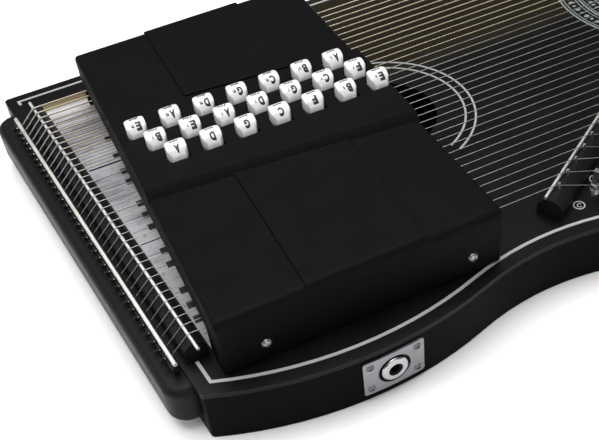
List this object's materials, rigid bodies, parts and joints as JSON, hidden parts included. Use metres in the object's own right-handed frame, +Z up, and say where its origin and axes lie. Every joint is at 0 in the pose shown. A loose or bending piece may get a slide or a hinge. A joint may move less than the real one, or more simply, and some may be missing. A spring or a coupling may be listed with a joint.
{
  "type": "chorded zither",
  "caption": "Flat black zither with slanted bridges, parallel strings, a sound hole, and spring-returned chord bars worked by rows of white buttons.",
  "frame": {"origin": "under the middle of the instrument, on the surface that it lies on", "axes": "+X along the strings from the anchor end to the tuning pins, +Y to the bass side, +Z up"},
  "size_m": [0.753, 0.3537, 0.0906],
  "materials": {
    "lacquered_wood": "satin black lacquer",
    "inner_wood": "bare spruce",
    "black_plastic": "satin",
    "cover_plastic": "fine matte grain",
    "black_steel": "blackened",
    "steel": "plain bright",
    "bronze_wound": "fine winding",
    "white_print": "smooth",
    "chrome": "polished",
    "pickup_brass": "plain",
    "bar_and_button": "gloss white button on a dark bar"
  },
  "bodies": {
    "case": {"back_panel": "lacquered_wood", "soundboard": "lacquered_wood", "bass_rail": "lacquered_wood", "treble_rail": "lacquered_wood", "anchor_rail": "lacquered_wood", "pin_block": "lacquered_wood", "soundboard_braces": "inner_wood", "tail_cap": "black_plastic", "string_anchor": "black_plastic", "string_anchor_rod": "steel", "string_ball_ends": "black_steel", "tail_bridge": "black_plastic", "tail_bridge_rod": "steel", "pin_bridge": "black_plastic", "pin_bridge_rod": "steel", "guide_pins": "steel", "tuning_pins": "steel", "wound_strings": "bronze_wound", "plain_strings": "steel", "border_inlay": "white_print", "soundhole_rings": "white_print", "rosette_inlay": "white_print", "note_scale": "white_print", "note_labels": "white_print", "bass_bar_comb": "black_plastic", "treble_bar_comb": "black_plastic", "bar_springs": "steel", "comb_screws": "steel", "bass_cover": "cover_plastic", "treble_cover": "cover_plastic", "button_panel": "cover_plastic", "cover_screws": "chrome", "jack_plate": "chrome", "jack_plate_screws": "chrome", "output_jack": "black_plastic", "jack_nut": "chrome", "pickup": "pickup_brass", "pickup_lead": "black_plastic"},
    "chord_bar_body_01": {"chord_bar_01": "bar_and_button"},
    "chord_bar_body_02": {"chord_bar_02": "bar_and_button"},
    "chord_bar_body_03": {"chord_bar_03": "bar_and_button"},
    "chord_bar_body_04": {"chord_bar_04": "bar_and_button"},
    "chord_bar_body_05": {"chord_bar_05": "bar_and_button"},
    "chord_bar_body_06": {"chord_bar_06": "bar_and_button"},
    "chord_bar_body_07": {"chord_bar_07": "bar_and_button"},
    "chord_bar_body_08": {"chord_bar_08": "bar_and_button"},
    "chord_bar_body_09": {"chord_bar_09": "bar_and_button"},
    "chord_bar_body_10": {"chord_bar_10": "bar_and_button"},
    "chord_bar_body_11": {"chord_bar_11": "bar_and_button"},
    "chord_bar_body_12": {"chord_bar_12": "bar_and_button"},
    "chord_bar_body_13": {"chord_bar_13": "bar_and_button"},
    "chord_bar_body_14": {"chord_bar_14": "bar_and_button"},
    "chord_bar_body_15": {"chord_bar_15": "bar_and_button"},
    "chord_bar_body_16": {"chord_bar_16": "bar_and_button"},
    "chord_bar_body_17": {"chord_bar_17": "bar_and_button"},
    "chord_bar_body_18": {"chord_bar_18": "bar_and_button"},
    "chord_bar_body_19": {"chord_bar_19": "bar_and_button"},
    "chord_bar_body_20": {"chord_bar_20": "bar_and_button"},
    "chord_bar_body_21": {"chord_bar_21": "bar_and_button"}
  },
  "joints": [
    {"name": "chord_bar_01_press", "type": "slide", "parent": "case", "child": "chord_bar_body_01", "axis": [0, 0, -1], "range_m": [0, 0.003], "stiffness_N_per_m": 150, "springref_m": -0.006, "deforming": ["bar_springs"]},
    {"name": "chord_bar_02_press", "type": "slide", "parent": "case", "child": "chord_bar_body_02", "axis": [0, 0, -1], "range_m": [0, 0.003], "stiffness_N_per_m": 150, "springref_m": -0.006, "deforming": ["bar_springs"]},
    {"name": "chord_bar_03_press", "type": "slide", "parent": "case", "child": "chord_bar_body_03", "axis": [0, 0, -1], "range_m": [0, 0.003], "stiffness_N_per_m": 150, "springref_m": -0.006, "deforming": ["bar_springs"]},
    {"name": "chord_bar_04_press", "type": "slide", "parent": "case", "child": "chord_bar_body_04", "axis": [0, 0, -1], "range_m": [0, 0.003], "stiffness_N_per_m": 150, "springref_m": -0.006, "deforming": ["bar_springs"]},
    {"name": "chord_bar_05_press", "type": "slide", "parent": "case", "child": "chord_bar_body_05", "axis": [0, 0, -1], "range_m": [0, 0.003], "stiffness_N_per_m": 150, "springref_m": -0.006, "deforming": ["bar_springs"]},
    {"name": "chord_bar_06_press", "type": "slide", "parent": "case", "child": "chord_bar_body_06", "axis": [0, 0, -1], "range_m": [0, 0.003], "stiffness_N_per_m": 150, "springref_m": -0.006, "deforming": ["bar_springs"]},
    {"name": "chord_bar_07_press", "type": "slide", "parent": "case", "child": "chord_bar_body_07", "axis": [0, 0, -1], "range_m": [0, 0.003], "stiffness_N_per_m": 150, "springref_m": -0.006, "deforming": ["bar_springs"]},
    {"name": "chord_bar_08_press", "type": "slide", "parent": "case", "child": "chord_bar_body_08", "axis": [0, 0, -1], "range_m": [0, 0.003], "stiffness_N_per_m": 150, "springref_m": -0.006, "deforming": ["bar_springs"]},
    {"name": "chord_bar_09_press", "type": "slide", "parent": "case", "child": "chord_bar_body_09", "axis": [0, 0, -1], "range_m": [0, 0.003], "stiffness_N_per_m": 150, "springref_m": -0.006, "deforming": ["bar_springs"]},
    {"name": "chord_bar_10_press", "type": "slide", "parent": "case", "child": "chord_bar_body_10", "axis": [0, 0, -1], "range_m": [0, 0.003], "stiffness_N_per_m": 150, "springref_m": -0.006, "deforming": ["bar_springs"]},
    {"name": "chord_bar_11_press", "type": "slide", "parent": "case", "child": "chord_bar_body_11", "axis": [0, 0, -1], "range_m": [0, 0.003], "stiffness_N_per_m": 150, "springref_m": -0.006, "deforming": ["bar_springs"]},
    {"name": "chord_bar_12_press", "type": "slide", "parent": "case", "child": "chord_bar_body_12", "axis": [0, 0, -1], "range_m": [0, 0.003], "stiffness_N_per_m": 150, "springref_m": -0.006, "deforming": ["bar_springs"]},
    {"name": "chord_bar_13_press", "type": "slide", "parent": "case", "child": "chord_bar_body_13", "axis": [0, 0, -1], "range_m": [0, 0.003], "stiffness_N_per_m": 150, "springref_m": -0.006, "deforming": ["bar_springs"]},
    {"name": "chord_bar_14_press", "type": "slide", "parent": "case", "child": "chord_bar_body_14", "axis": [0, 0, -1], "range_m": [0, 0.003], "stiffness_N_per_m": 150, "springref_m": -0.006, "deforming": ["bar_springs"]},
    {"name": "chord_bar_15_press", "type": "slide", "parent": "case", "child": "chord_bar_body_15", "axis": [0, 0, -1], "range_m": [0, 0.003], "stiffness_N_per_m": 150, "springref_m": -0.006, "deforming": ["bar_springs"]},
    {"name": "chord_bar_16_press", "type": "slide", "parent": "case", "child": "chord_bar_body_16", "axis": [0, 0, -1], "range_m": [0, 0.003], "stiffness_N_per_m": 150, "springref_m": -0.006, "deforming": ["bar_springs"]},
    {"name": "chord_bar_17_press", "type": "slide", "parent": "case", "child": "chord_bar_body_17", "axis": [0, 0, -1], "range_m": [0, 0.003], "stiffness_N_per_m": 150, "springref_m": -0.006, "deforming": ["bar_springs"]},
    {"name": "chord_bar_18_press", "type": "slide", "parent": "case", "child": "chord_bar_body_18", "axis": [0, 0, -1], "range_m": [0, 0.003], "stiffness_N_per_m": 150, "springref_m": -0.006, "deforming": ["bar_springs"]},
    {"name": "chord_bar_19_press", "type": "slide", "parent": "case", "child": "chord_bar_body_19", "axis": [0, 0, -1], "range_m": [0, 0.003], "stiffness_N_per_m": 150, "springref_m": -0.006, "deforming": ["bar_springs"]},
    {"name": "chord_bar_20_press", "type": "slide", "parent": "case", "child": "chord_bar_body_20", "axis": [0, 0, -1], "range_m": [0, 0.003], "stiffness_N_per_m": 150, "springref_m": -0.006, "deforming": ["bar_springs"]},
    {"name": "chord_bar_21_press", "type": "slide", "parent": "case", "child": "chord_bar_body_21", "axis": [0, 0, -1], "range_m": [0, 0.003], "stiffness_N_per_m": 150, "springref_m": -0.006, "deforming": ["bar_springs"]}
  ]
}
